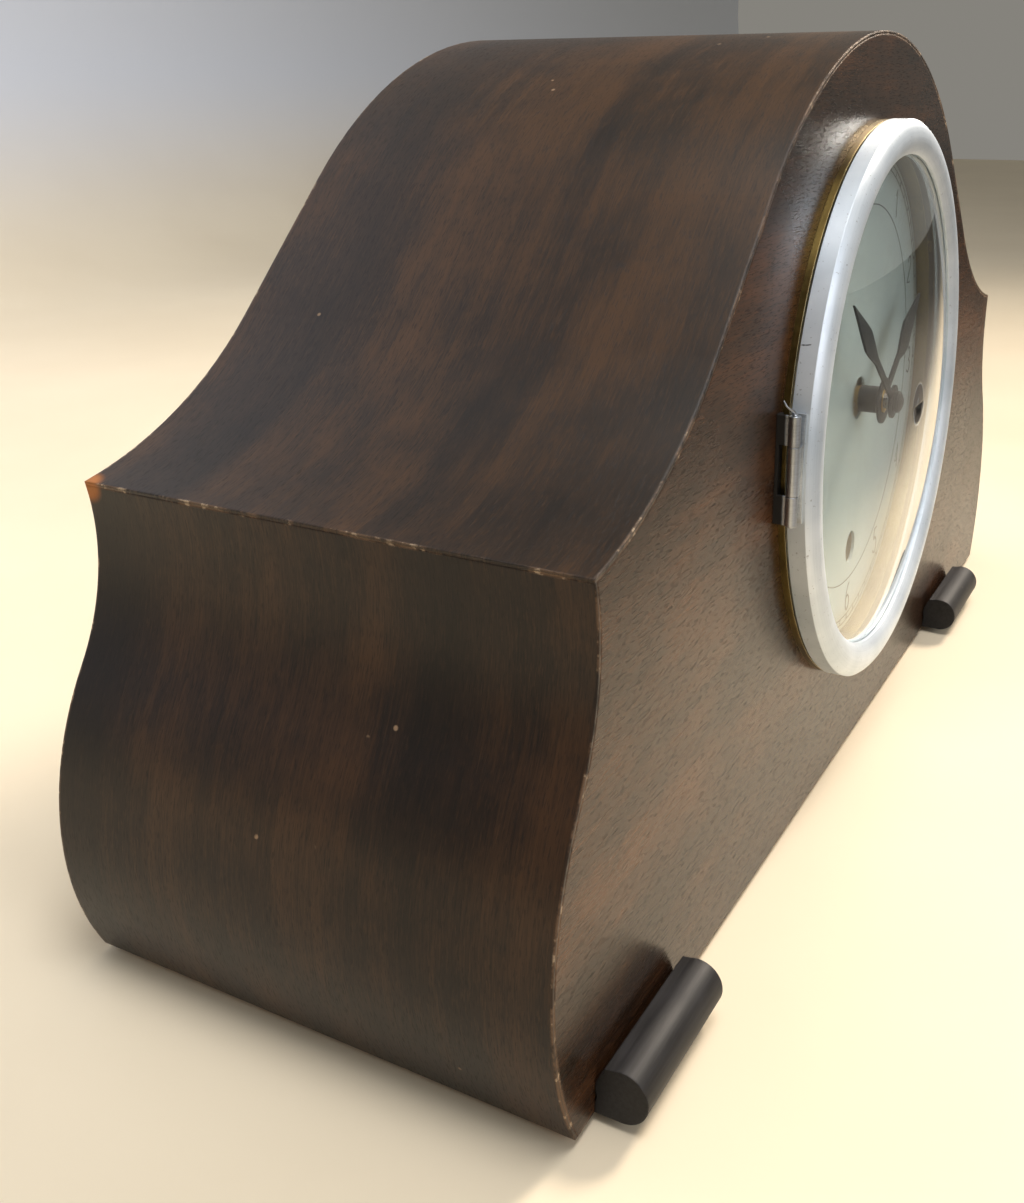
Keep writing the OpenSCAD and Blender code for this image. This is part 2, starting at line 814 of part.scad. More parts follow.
module barrel_drum() color(brass) turned(barrel_at) {
    band(3 + running_fit, drum_r, f_great - 1.2, f_great);
    band(drum_r - 1.2, drum_r, f_drum_back, f_great);
}

module great_wheel() color(brass) slab(f_great, f_great + great_t)
    translate(barrel_at + [0, z_dial]) difference() {
        toothed(great_n, great_m, bearing(barrel_at, inter_at));
        circle(r = 3.4, $fn = round_arbor_fn);
    }

module barrel_cap() color(brass) turned(barrel_at)
    band(3 + running_fit, drum_r, f_drum_back - 1.4, f_drum_back);

// Radius of the spring's middle line, part of the way from its inner to its outer end
function spiral_r(part) = spring_first_r + spring_pitch * spring_turns * part;

// Mainspring: a flat spiral strip lying in the drum
module mainspring() color(steel) {
    steps = 20 * spring_turns;
    strip = 0.9;
    slab(f_drum_back + 1.2, f_great - 2.4) translate(barrel_at + [0, z_dial]) polygon(concat(
        [for (i = [0:steps]) polar(spiral_r(i / steps) + strip / 2, 360 * spring_turns * i / steps)],
        [for (i = [steps:-1:0])
            polar(spiral_r(i / steps) - strip / 2, 360 * spring_turns * i / steps)]));
}

module winding_arbor() color(steel) {
    pin_y(barrel_at, 3, f_back_plate - 0.4, f_front_plate + 0.6);
    pin_y(barrel_at, 4, f_drum_back + 0.6, f_great - 1.6);
    slab(f_front_plate, f_winding_end) translate(barrel_at + [0, z_dial])
        square(square_w, center = true);
    slab(f_ratchet - ratchet_t - 1.4, f_back_plate) translate(barrel_at + [0, z_dial])
        square(square_w, center = true);
}

// Saw-toothed wheel on the winding arbor, steep faces towards the click
module ratchet_wheel() color(steel)
    slab(f_ratchet - ratchet_t, f_ratchet) translate(barrel_at + [0, z_dial]) difference() {
        polygon([for (i = [0:ratchet_n - 1]) each [
            polar(ratchet_r, 90 + i * 360 / ratchet_n),
            polar(ratchet_root, 90.3 + i * 360 / ratchet_n)]]);
        square(square_w + 0.04, center = true);
    }

module click() color(steel)
    slab(f_ratchet - ratchet_t, f_ratchet) translate(click_at + [0, z_dial]) difference() {
        nose = barrel_at - click_at;
        polygon([nose + [-0.45, 9.98], nose + [-0.3, 11.9], nose + [-2.2, 13.6],
            [2, 3.1], [-1.6, 2.8], [-3, 0.6], [-2, -2.4], [1.4, -2.6],
            [5.4, -1], nose + [-3, 11.25], nose + [-1.2, 10.55]]);
        circle(r = click_pivot_r + 0.25, $fn = round_arbor_fn);
    }

// Wire spring coiled round the click's stud, with a tail to the plate
module click_spring() color(brass) {
    f_coil = f_ratchet - ratchet_t - 0.75;
    turned(click_at) translate([2.2, f_coil]) circle(r = 0.4, $fn = 24);
    slab(f_coil - 0.35, f_coil + 0.35) translate(click_at + [0, z_dial])
        translate([-8, 1.85]) square([8, 0.7]);
    pin_y(click_at + [-7.6, 2.2], 0.35, f_coil - 0.3, f_back_plate, 24);
}

// ---- going train ----

module intermediate_arbor() color(steel) {
    train_arbor(inter_at, 1.6);
    slab(f_great - 0.8, f_great + great_t + 0.6) translate(inter_at + [0, z_dial])
        leaves(inter_pin_n, great_m, gap_phase(inter_at, barrel_at, inter_pin_n));
}

module intermediate_wheel() color(brass)
    train_wheel(inter_at, inter_n, inter_m, bearing(inter_at, [0, 0]),
        f_inter_wheel[0], f_inter_wheel[1], 1.68, 4, 2.4);

// Centre arbor, running forward through the front plate to the hand nut
module centre_arbor() color(steel) {
    pin_y([0, 0], pivot_r, f_back_plate, f_back_in + 1, round_arbor_fn);
    pin_y([0, 0], arbor_r, f_back_in + 0.4, f_minute_hand + hand_t + 1, round_arbor_fn);
    slab(f_inter_wheel[0] - 0.4, f_inter_wheel[1] + 0.6) translate([0, z_dial])
        leaves(centre_pin_n, inter_m, gap_phase([0, 0], inter_at, centre_pin_n));
}

module centre_wheel() color(brass)
    train_wheel([0, 0], centre_n, centre_m, bearing([0, 0], third_at),
        f_centre_wheel[0], f_centre_wheel[1], arbor_r + 0.06, 3.6, 2);

module third_arbor() color(steel) {
    train_arbor(third_at, 1);
    slab(f_centre_wheel[0] - 0.5, f_centre_wheel[1] + 0.5) translate(third_at + [0, z_dial])
        leaves(third_pin_n, centre_m, gap_phase(third_at, [0, 0], third_pin_n));
}

module third_wheel() color(brass)
    train_wheel(third_at, third_n, third_m, bearing(third_at, escape_at),
        f_third_wheel[0], f_third_wheel[1], 1.06, 3.2, 1.8);

module escape_arbor() color(steel) {
    train_arbor(escape_at, 0.8);
    slab(f_third_wheel[0] - 0.5, f_third_wheel[1] + 0.5) translate(escape_at + [0, z_dial])
        leaves(escape_pin_n, third_m, gap_phase(escape_at, third_at, escape_pin_n));
}

// Escape wheel: slender teeth that lean forward
module escape_wheel() color(brass)
    slab(f_escape_wheel[0], f_escape_wheel[1]) translate(escape_at + [0, z_dial]) difference() {
        polygon([for (i = [0:escape_n - 1]) each [
            polar(escape_r, 90 + i * 360 / escape_n),
            polar(escape_r - 1.7, 92 + i * 360 / escape_n),
            polar(escape_r - 1.7, 96.4 + i * 360 / escape_n)]]);
        crossings(2.6, escape_r - 3, 1.4);
        circle(r = 0.86, $fn = round_arbor_fn);
    }

// ---- motion work ----

// Cannon pinion: leaves and the pipe that carries the minute hand
module cannon_pinion() color(steel) difference() {
    union() {
        pin_y([0, 0], cannon_pipe_r, f_cannon[0], f_minute_hand + hand_t, round_arbor_fn);
        slab(f_cannon[0], f_cannon[1]) translate([0, z_dial])
            leaves(cannon_n, minute_m, bearing([0, 0], minute_at) + 180 / cannon_n);
    }
    pin_y([0, 0], arbor_r + 0.06, f_cannon[0] - 1, f_minute_hand + 2, round_arbor_fn);
}

// Minute wheel with its pinion, turning on the stud in the front plate
module minute_wheel() color(brass) difference() {
    union() {
        train_wheel(minute_at, minute_n, minute_m, 180, f_cannon[0] + 0.1,
            f_cannon[1] - 0.1, 0.1, 3.6, 2);
        slab(f_cannon[1] - 0.2, f_hour_wheel[1] + 0.2) translate(minute_at + [0, z_dial])
            leaves(minute_pin_n, hour_m, 180 + 180 / minute_pin_n);
    }
    pin_y(minute_at, 1.1, f_cannon[0] - 1, f_hour_wheel[1] + 1, round_arbor_fn);
}

// Hour wheel on its pipe, which carries the hour hand
module hour_wheel() color(brass) difference() {
    union() {
        slab(f_hour_wheel[0], f_hour_wheel[1]) translate([0, z_dial]) difference() {
            toothed(hour_n, hour_m, 0);
            crossings(4.6, hour_m * (hour_n / 2 - 2.6), 2);
        }
        pin_y([0, 0], hour_pipe_r, f_hour_wheel[0], f_hour_hand + hand_t + 0.2, round_arbor_fn);
    }
    pin_y([0, 0], cannon_pipe_r + 0.35, f_hour_wheel[0] - 1, f_hour_hand + 3, round_arbor_fn);
}

// ---- escapement and pendulum ----

// Anchor, its arbor and the crutch that reaches down to the pendulum rod
module pallets() color(steel) {
    arm = pallet_at - escape_at;
    tip = escape_r + pallet_clear;
    slab(f_escape_wheel[0] - 0.4, f_escape_wheel[1] + 0.4)
        translate(escape_at + [0, z_dial]) for (side = [-1, 1]) {
            polygon([arm + [0, 2.4], arm + [-side * 2.2, 0], arm + [0, -1.6],
                arm + [side * 3.4, -1.4],
                polar(tip + 2.2, 90 - side * (pallet_half_deg - 7)),
                polar(tip, 90 - side * (pallet_half_deg - 5)),
                polar(tip, 90 - side * (pallet_half_deg + 2)),
                polar(tip + 2.6, 90 - side * (pallet_half_deg + 4)),
                arm + [side * 6, 0.6]]);
        }
    pin_y(pallet_at, pivot_r, f_cock - 1.8, f_front_plate, round_arbor_fn);
    pin_y(pallet_at, 0.9, f_crutch - 1.2, f_front_in - 0.4, round_arbor_fn);
    slab(f_crutch - 1.2, f_crutch) translate(pallet_at + [0, z_dial])
        polygon([[-2.4, 2], [2.4, 2], [1.5, -crutch_drop], [-1.5, -crutch_drop]]);
    difference() {
        block([-3.2, f_rod - 3.2, z_pivot - crutch_drop], [3.2, f_crutch, z_pivot - crutch_drop + 3]);
        block([-fork_slot, f_rod - 4, z_pivot - crutch_drop - 1],
            [fork_slot, f_rod + 2, z_pivot - crutch_drop + 4]);
    }
}

// Bracket on the back plate: carries the pallet arbor and the suspension chops
module pendulum_cock() color(brass) {
    for (side = [-1, 1]) {
        pin_y(pallet_at + [side * cock_post_x, 3], 2.4, f_cock, f_back_plate);
    }
    slab(f_cock - 2, f_cock) translate(pallet_at + [0, z_dial]) difference() {
        translate([-cock_post_x - 4, -3]) square([2 * cock_post_x + 8, 10]);
        circle(r = pivot_r + running_fit);
    }
    block([-4, f_rod - 3, z_pivot + 0.3], [4, f_cock - 2, z_pivot + 7]);
}

// Suspension spring, hook and rod with its threaded end
module pendulum_rod() color(steel) {
    block([-0.15, f_rod - 2, z_pivot - 7], [0.15, f_rod + 2, z_pivot + 0.1]);
    block([-2, f_rod - 2.4, z_pivot - 11], [2, f_rod + 2.4, z_pivot - 7]);
    translate([0, y_face - f_rod, nut_z - 3]) cylinder(r = rod_r, h = z_pivot - 10.5 - nut_z + 3,
        $fn = 24);
}

// Lens-shaped bob, free to slide on the rod
module bob() color(brass) {
    lens_r = (bob_r * bob_r + bob_t * bob_t / 4) / bob_t;
    difference() {
        translate([0, y_face - f_rod, z_bob]) rotate([90, 0, 0]) rotate_extrude() intersection() {
            translate([0, bob_t / 2 - lens_r]) circle(r = lens_r);
            translate([0, lens_r - bob_t / 2]) circle(r = lens_r);
            translate([0, -bob_t]) square([bob_r - 0.6, 2 * bob_t]);
        }
        translate([0, y_face - f_rod, z_bob - 20]) cylinder(r = rod_r + 0.08, h = 40, $fn = 24);
    }
}

module rating_nut() color(brass) difference() {
    translate([0, y_face - f_rod, nut_z]) cylinder(r = 3.6, h = 2.6, $fn = 12);
    translate([0, y_face - f_rod, nut_z - 1]) cylinder(r = rod_r + 0.08, h = 6, $fn = 24);
}

front_panel();
back_panel();
top_panel();
end_block_left();
end_block_right();
base_board();
glue_blocks();
front_veneer();
top_veneer();
end_veneer_left();
end_veneer_right();
foot_bar_left();
foot_bar_right();
foot_pads();
back_door();
door_hinge_fixed();
door_hinge_moving();
door_hinge_pin();
turn_button();
case_screws();
bezel_base_ring();
bezel_ring();
bezel_glass();
glass_retainer();
bezel_hinge_fixed();
bezel_hinge_moving();
bezel_hinge_pin();
dial_plate();
minute_hand();
hour_hand();
hand_nut();
front_plate();
back_plate();
plate_pillars();
plate_screws();
mount_straps();
barrel_drum();
great_wheel();
barrel_cap();
mainspring();
winding_arbor();
ratchet_wheel();
click();
click_spring();
intermediate_arbor();
intermediate_wheel();
centre_arbor();
centre_wheel();
third_arbor();
third_wheel();
escape_arbor();
escape_wheel();
cannon_pinion();
minute_wheel();
hour_wheel();
pallets();
pendulum_cock();
pendulum_rod();
bob();
rating_nut();
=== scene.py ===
import json
import math

import bmesh
import bpy
from mathutils import Euler, Matrix, Vector


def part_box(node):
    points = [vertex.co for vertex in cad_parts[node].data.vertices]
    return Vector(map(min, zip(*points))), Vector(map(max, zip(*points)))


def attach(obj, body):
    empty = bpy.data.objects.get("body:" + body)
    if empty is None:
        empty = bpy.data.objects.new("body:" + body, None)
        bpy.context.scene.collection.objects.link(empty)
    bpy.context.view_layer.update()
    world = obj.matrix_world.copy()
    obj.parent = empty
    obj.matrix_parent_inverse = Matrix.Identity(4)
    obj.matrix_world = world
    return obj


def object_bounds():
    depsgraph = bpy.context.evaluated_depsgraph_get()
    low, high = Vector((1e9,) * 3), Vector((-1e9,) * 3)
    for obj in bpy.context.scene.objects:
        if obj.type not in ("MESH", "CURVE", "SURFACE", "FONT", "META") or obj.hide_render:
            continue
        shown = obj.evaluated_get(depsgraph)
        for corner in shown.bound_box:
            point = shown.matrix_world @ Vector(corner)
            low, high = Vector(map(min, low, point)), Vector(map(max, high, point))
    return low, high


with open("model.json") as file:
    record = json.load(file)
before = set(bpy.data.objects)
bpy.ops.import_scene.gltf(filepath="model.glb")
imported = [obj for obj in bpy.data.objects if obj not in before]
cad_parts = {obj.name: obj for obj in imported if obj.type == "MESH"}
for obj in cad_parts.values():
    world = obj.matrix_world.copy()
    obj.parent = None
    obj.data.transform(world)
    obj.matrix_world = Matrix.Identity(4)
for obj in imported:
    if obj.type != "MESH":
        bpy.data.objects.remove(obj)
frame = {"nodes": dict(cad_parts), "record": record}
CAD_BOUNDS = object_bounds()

MM = 0.001

# ---- places that the looks are worked out from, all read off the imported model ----

DIAL_LOW, DIAL_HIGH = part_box("dial_plate")
DIAL_CENTRE = (DIAL_LOW + DIAL_HIGH) / 2
DIAL_FACE_Y = DIAL_LOW.y
FRONT_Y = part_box("front_veneer")[0].y
BACK_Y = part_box("back_panel")[1].y
TOP_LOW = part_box("top_veneer")[0]
# Where the top veneer meets the left end at the back, which is chipped
SHOULDER_CORNER = Vector((TOP_LOW.x, BACK_Y, TOP_LOW.z))

# ---- camera ----

LENS_MM = 39.74
SENSOR_MM = 36.0
CAMERA_PLACE = Vector((-0.3612, -0.1501, 0.1922))
CAMERA_TURN_DEG = (75.62, 0.44, -60.45)
CAMERA_SHIFT = (-0.0026, -0.1503)


def make_camera():
    """Close to the left end and a little above the case, looking along its front."""
    data = bpy.data.cameras.new("camera")
    data.lens = LENS_MM
    data.sensor_width = SENSOR_MM
    data.shift_x, data.shift_y = CAMERA_SHIFT
    data.clip_start = 0.01
    camera = bpy.data.objects.new("camera", data)
    camera.location = CAMERA_PLACE
    camera.rotation_euler = Euler([math.radians(a) for a in CAMERA_TURN_DEG])
    bpy.context.scene.collection.objects.link(camera)
    bpy.context.scene.camera = camera


# ---- shader building ----


def tint(code):
    """A linear colour from a hex code."""
    channels = [int(code[i:i + 2], 16) / 255 for i in (1, 3, 5)]
    linear = [c / 12.92 if c <= 0.04045 else ((c + 0.055) / 1.055) ** 2.4 for c in channels]
    return (*linear, 1.0)


class Look:
    """A material with one Principled shader, and short ways to add the nodes that feed it.

    Noise and cell scales are in cycles per metre, because the coordinates are in metres.
    """

    def __init__(self, name, **values):
        self.material = bpy.data.materials.new(name)
        self.material.use_nodes = True
        self.tree = self.material.node_tree
        self.shader = self.tree.nodes["Principled BSDF"]
        self.output = self.tree.nodes["Material Output"]
        for socket, value in values.items():
            self.shader.inputs[socket.replace("_", " ")].default_value = value
        self.place = self.add("ShaderNodeTexCoord").outputs["Object"]

    def add(self, kind, inputs=None, **settings):
        node = self.tree.nodes.new(kind)
        for name, value in settings.items():
            setattr(node, name, value)
        for key, value in (inputs or {}).items():
            self.feed(node.inputs[key], value)
        return node

    def feed(self, socket, value):
        if isinstance(value, bpy.types.NodeSocket):
            self.tree.links.new(value, socket)
        else:
            socket.default_value = value

    def use(self, name, value):
        self.feed(self.shader.inputs[name], value)

    def mapped(self, scale, shift=(0, 0, 0)):
        inputs = {"Vector": self.place, "Scale": scale, "Location": shift}
        return self.add("ShaderNodeMapping", inputs).outputs[0]

    def noise(self, vector, scale=1.0, detail=2.0, rough=0.5, twist=0.0):
        inputs = {"Vector": vector, "Scale": scale, "Detail": detail, "Roughness": rough,
                  "Distortion": twist}
        return self.add("ShaderNodeTexNoise", inputs).outputs["Fac"]

    def specks(self, scale, small, large, where):
        """1 in round specks whose edges fade from small to large, only where the mask is 1."""
        cells = self.add("ShaderNodeTexVoronoi", {"Vector": self.place, "Scale": scale}, feature="F1")
        return self.times(self.remap(cells.outputs["Distance"], small, large, 1, 0), where)

    def ramp(self, value, *stops):
        node = self.add("ShaderNodeValToRGB", {"Fac": value})
        elements = node.color_ramp.elements
        while len(elements) < len(stops):
            elements.new(0.5)
        for element, (position, colour) in zip(elements, stops):
            element.position = position
            element.color = colour
        return node.outputs["Color"]

    def remap(self, value, low, high, to_low=0.0, to_high=1.0):
        inputs = {"Value": value, "From Min": low, "From Max": high, "To Min": to_low, "To Max": to_high}
        return self.add("ShaderNodeMapRange", inputs, interpolation_type="SMOOTHSTEP").outputs["Result"]

    def calc(self, operation, first, second=0.0):
        return self.add("ShaderNodeMath", {0: first, 1: second}, operation=operation).outputs[0]

    def vector_calc(self, operation, first, second, output=0):
        node = self.add("ShaderNodeVectorMath", {0: first, 1: second}, operation=operation)
        return node.outputs[output]

    def scaled(self, vector, factor):
        inputs = {0: vector, 3: factor}
        return self.add("ShaderNodeVectorMath", inputs, operation="SCALE").outputs[0]

    def times(self, first, second):
        return self.calc("MULTIPLY", first, second)

    def plus(self, first, second):
        return self.calc("ADD", first, second)

    def blend(self, amount, first, second):
        """The first colour, turning into the second as amount goes from 0 to 1."""
        node = self.add("ShaderNodeMix", data_type="RGBA", blend_type="MIX")
        self.feed(node.inputs["Factor"], amount)
        self.feed(node.inputs["A"], first)
        self.feed(node.inputs["B"], second)
        return node.outputs["Result"]

    def axis(self, name, vector=None):
        return self.add("ShaderNodeSeparateXYZ", {0: vector or self.place}).outputs[name]

    def round_the_dial(self):
        """X and Z from the dial's centre, and the distance from it."""
        centred = self.mapped((1, 1, 1), shift=tuple(-DIAL_CENTRE))
        x, z = self.axis("X", centred), self.axis("Z", centred)
        return x, z, self.calc("SQRT", self.plus(self.times(x, x), self.times(z, z)))

    def round_edge(self, radius, samples=6):
        """The normal that edges rounded by radius would have."""
        return self.add("ShaderNodeBevel", {"Radius": radius}, samples=samples).outputs[0]

    def edge_mask(self, rounded, low=0.02, high=0.25):
        """1 on sharp edges and 0 on flats, from how far the rounded normal leaves the true one."""
        true = self.add("ShaderNodeNewGeometry").outputs["Normal"]
        agreement = self.vector_calc("DOT_PRODUCT", rounded, true, "Value")
        return self.remap(self.calc("SUBTRACT", 1.0, agreement), low, high)

    def bump(self, height, distance, strength=1.0, normal=None):
        inputs = {"Height": height, "Distance": distance, "Strength": strength}
        if normal is not None:
            inputs["Normal"] = normal
        self.use("Normal", self.add("ShaderNodeBump", inputs).outputs[0])


# ---- wood ----

# Cycles per metre along and across the grain
BANDS = (4, 34)
STREAKS = (16, 260)
FIBRES = (90, 2200)
FLECKS = (330, 2400)
PORES = (420, 3800)
RINGS = (7, 90)

PORE_FILL = "#0e0906"
CRACK_DARK = "#150d09"
BRUISED_WOOD = "#a08468"
RUBBED_WOOD = "#8a6c52"
SPLINTERED_WOOD = "#cfb596"
RAW_WOOD = "#a86a38"


def grain(look, frequency, across, shift):
    """Coordinates stretched along the grain. across is the axis that crosses it, 0 for X to 2 for Z."""
    scale = [frequency[0]] * 3
    scale[across] = frequency[1]
    return look.mapped(scale, shift=shift)


def crack_mask(look, start, end, width):
    """1 along a wandering hairline from start to end, both on the same face."""
    start, end = Vector(start), Vector(end)
    run = (end - start).normalized()
    drift = look.add("ShaderNodeTexNoise", {"Vector": look.place, "Scale": 180.0, "Detail": 3.0})
    drift = look.vector_calc("SUBTRACT", drift.outputs["Color"], (0.5, 0.5, 0.5))
    place = look.vector_calc("ADD", look.place, look.scaled(drift, 3 * MM))
    offset = look.vector_calc("SUBTRACT", place, tuple(start))
    along = look.vector_calc("DOT_PRODUCT", offset, tuple(run), "Value")
    along = look.add("ShaderNodeClamp", {0: along, 1: 0.0, 2: (end - start).length}).outputs[0]
    gap = look.vector_calc("DISTANCE", offset, look.scaled(tuple(run), along), "Value")
    return look.remap(gap, 0.3 * width, width, 1, 0)


def veneer_grain(look, across, shift, dark, middle, light):
    """The colour of the unworn wood, and the fibre pattern that its surface follows."""
    bands = look.noise(grain(look, BANDS, across, shift), detail=2.5, rough=0.55, twist=0.5)
    streaks = look.noise(grain(look, STREAKS, across, shift), detail=3, rough=0.6, twist=0.3)
    fibres = look.noise(grain(look, FIBRES, across, shift), detail=2, rough=0.7)
    figure = look.noise(look.mapped((55, 55, 55), shift=shift), detail=2, rough=0.6)
    tone = look.plus(look.times(bands, 0.42), look.times(streaks, 0.16))
    tone = look.plus(tone, look.times(figure, 0.20))
    tone = look.plus(tone, look.times(fibres, 0.22))
    # The four weights add up to one, so the tone stays close to a half
    colour = look.ramp(tone, (0.41, tint(dark)), (0.50, tint(middle)), (0.61, tint(light)))
    flecks = look.noise(grain(look, FLECKS, across, shift), detail=2, rough=0.6)
    in_light_bands = look.remap(bands, 0.35, 0.62, 0.2, 0.6)
    fleck_mask = look.times(look.remap(flecks, 0.54, 0.68), in_light_bands)
    return look.blend(fleck_mask, colour, tint(light)), fibres


def worn_arris(look, colour, edge):
    """The colour with its edges rubbed in stretches, and nicked down to pale wood inside those."""
    rubbed = look.remap(look.noise(look.place, 90, detail=5, rough=0.7), 0.44, 0.56)
    nicks = look.remap(look.noise(look.place, 420, detail=3), 0.56, 0.62)
    colour = look.blend(look.times(edge, look.times(rubbed, 0.75)), colour, tint(RUBBED_WOOD))
    return look.blend(look.times(edge, look.times(nicks, rubbed)), colour, tint(SPLINTERED_WOOD))


def chipped_corner(look):
    """1 where the back corner of the left shoulder has lost its veneer."""
    ragged = look.remap(look.noise(look.place, 900, detail=2), 0.02, 0.2)
    away = look.vector_calc("DISTANCE", look.place, tuple(SHOULDER_CORNER), "Value")
    return look.remap(look.plus(away, look.times(ragged, 1.5 * MM)), 4 * MM, 6.5 * MM, 1, 0)


def veneer(name, across, seed, dark, middle, light, gloss, shine, crack=None):
    """Lacquered veneer with broad ribbons, fine streaks, pores, dents and worn arrises."""
    look = Look(name, Specular_IOR_Level=shine)
    shift = (seed * 3.7, seed * 1.9, seed * 2.3)
    colour, fibres = veneer_grain(look, across, shift, dark, middle, light)
    pores = look.remap(look.noise(grain(look, PORES, across, shift), detail=1), 0.56, 0.66)
    colour = look.blend(look.times(pores, 0.55), colour, tint(PORE_FILL))
    if crack:
        colour = look.blend(look.times(crack_mask(look, *crack), 0.8), colour, tint(CRACK_DARK))
    few = look.remap(look.noise(look.place, 47, detail=1), 0.68, 0.70)
    dents = look.specks(160, 0.05, 0.11, few)
    colour = look.blend(look.times(dents, 0.7), colour, tint(BRUISED_WOOD))

    rounded = look.round_edge(0.9 * MM)
    edge = look.edge_mask(rounded, 0.01, 0.12)
    corner = chipped_corner(look)
    look.use("Base Color", look.blend(corner, worn_arris(look, colour, edge), tint(RAW_WOOD)))

    cloud = look.noise(look.mapped((9, 9, 9), shift=shift), detail=3)
    roughness = look.plus(gloss, look.times(cloud, 0.10))
    roughness = look.plus(roughness, look.times(look.plus(pores, look.times(edge, 2.0)), 0.12))
    look.use("Roughness", look.plus(roughness, look.times(corner, 0.3)))
    height = look.plus(look.times(fibres, 0.35), look.times(look.plus(pores, dents), -1.0))
    look.bump(height, 0.004 * MM, 0.5, rounded)
    return look.material


def plain_wood(name, across, seed, dark, light, roughness, gloss_coat=0.0, arris="#a9875f"):
    """Plywood or softwood with fibres, a few rings and worn edges."""
    look = Look(name, Coat_Weight=gloss_coat, Coat_Roughness=0.35, Specular_IOR_Level=0.4)
    shift = (seed * 5.1, seed * 2.7, seed * 4.3)
    rings = look.noise(grain(look, RINGS, across, shift), detail=3, rough=0.5, twist=0.8)
    fibres = look.noise(grain(look, FIBRES, across, shift), detail=3, rough=0.7)
    tone = look.plus(look.times(rings, 0.8), look.times(fibres, 0.45))
    colour = look.ramp(tone, (0.42, tint(dark)), (0.82, tint(light)))
    stain = look.remap(look.noise(look.mapped((14, 14, 14), shift=shift), detail=4), 0.35, 0.7)
    colour = look.blend(look.times(stain, 0.4), colour, tint(dark))
    rounded = look.round_edge(0.6 * MM, 4)
    rubbed = look.remap(look.noise(look.place, 300, detail=2), 0.4, 0.65)
    edge = look.times(look.edge_mask(rounded), rubbed)
    look.use("Base Color", look.blend(look.times(edge, 0.6), colour, tint(arris)))
    look.use("Roughness", look.plus(roughness, look.times(fibres, 0.2)))
    look.bump(fibres, 0.06 * MM, 0.6, rounded)
    return look.material


def ebonised(name):
    """Black stained hardwood with a rubbed bloom on its round face."""
    look = Look(name, Specular_IOR_Level=0.32)
    fibres = look.noise(look.mapped((60, 1300, 1300)), detail=3, rough=0.65)
    cloud = look.noise(look.mapped((60, 90, 90)), detail=4, rough=0.6)
    colour = look.ramp(look.plus(look.times(fibres, 0.5), look.times(cloud, 0.5)),
                       (0.35, tint("#0f0e0e")), (0.7, tint("#2b2a2c")))
    dusty = look.remap(look.noise(look.place, 90), 0.58, 0.62)
    dust = look.specks(420, 0.05, 0.12, dusty)
    colour = look.blend(look.times(dust, 0.8), colour, tint("#8d8780"))
    rounded = look.round_edge(0.5 * MM, 4)
    edge = look.times(look.edge_mask(rounded), look.remap(look.noise(look.place, 500), 0.45, 0.6))
    look.use("Base Color", look.blend(look.times(edge, 0.5), colour, tint("#55504c")))
    look.use("Roughness", look.plus(0.42, look.times(cloud, 0.22)))
    look.bump(fibres, 0.04 * MM, 0.6, rounded)
    return look.material


# ---- metal ----


EVEN_MARKS = (900, 900, 900)
# Colour of the painted shade on metal that sits close to the case's face
PAINTED_RECESS_SHADE = "#15120f"


def metal(name, light, dark, roughness, brush=EVEN_MARKS, tarnish=0.35, freckle="#3a2c1c", arris=None,
          painted_shade_depth=None):
    """Polished or brushed metal. brush is the frequency of the brush marks along X, Y and Z, arris
    is the colour that wear has left on its edges, and the last argument is the distance in front of
    the case's face within which the metal is painted dark and dull, as painted shade."""
    look = Look(name, Metallic=1.0)
    marks = look.noise(look.mapped(brush), detail=3, rough=0.6)
    cloud = look.noise(look.place, 70, detail=4, rough=0.6)
    colour = look.ramp(look.plus(look.times(cloud, 0.7), look.times(marks, 0.3)),
                       (0.30, tint(dark)), (0.62, tint(light)))
    freckles = look.remap(look.noise(look.place, 1100, detail=2), 0.64, 0.72)
    patches = look.remap(look.noise(look.place, 45, detail=3), 0.5, 0.7)
    stain = look.times(look.times(freckles, patches), tarnish)
    colour = look.blend(stain, colour, tint(freckle))
    rounded = look.round_edge(0.25 * MM, 4)
    if arris:
        colour = look.blend(look.edge_mask(rounded, 0.01, 0.1), colour, tint(arris))
    # Painted shade: metal within the given distance of the case's face turns dark, dull and less
    # metallic
    if painted_shade_depth:
        depth = look.plus(look.axis("Y"), look.times(cloud, 0.8 * MM))
        recess_shade = look.remap(depth, FRONT_Y - painted_shade_depth, FRONT_Y - painted_shade_depth + 0.7 * MM)
        colour = look.blend(recess_shade, colour, tint(PAINTED_RECESS_SHADE))
        roughness = look.plus(roughness, look.times(recess_shade, 0.3))
        look.use("Metallic", look.calc("SUBTRACT", 1.0, recess_shade))
    look.use("Base Color", colour)
    roughness = look.plus(roughness, look.times(cloud, 0.12))
    look.use("Roughness", look.plus(roughness, look.times(marks, 0.10)))
    look.bump(marks, 0.012 * MM, 0.5, rounded)
    return look.material


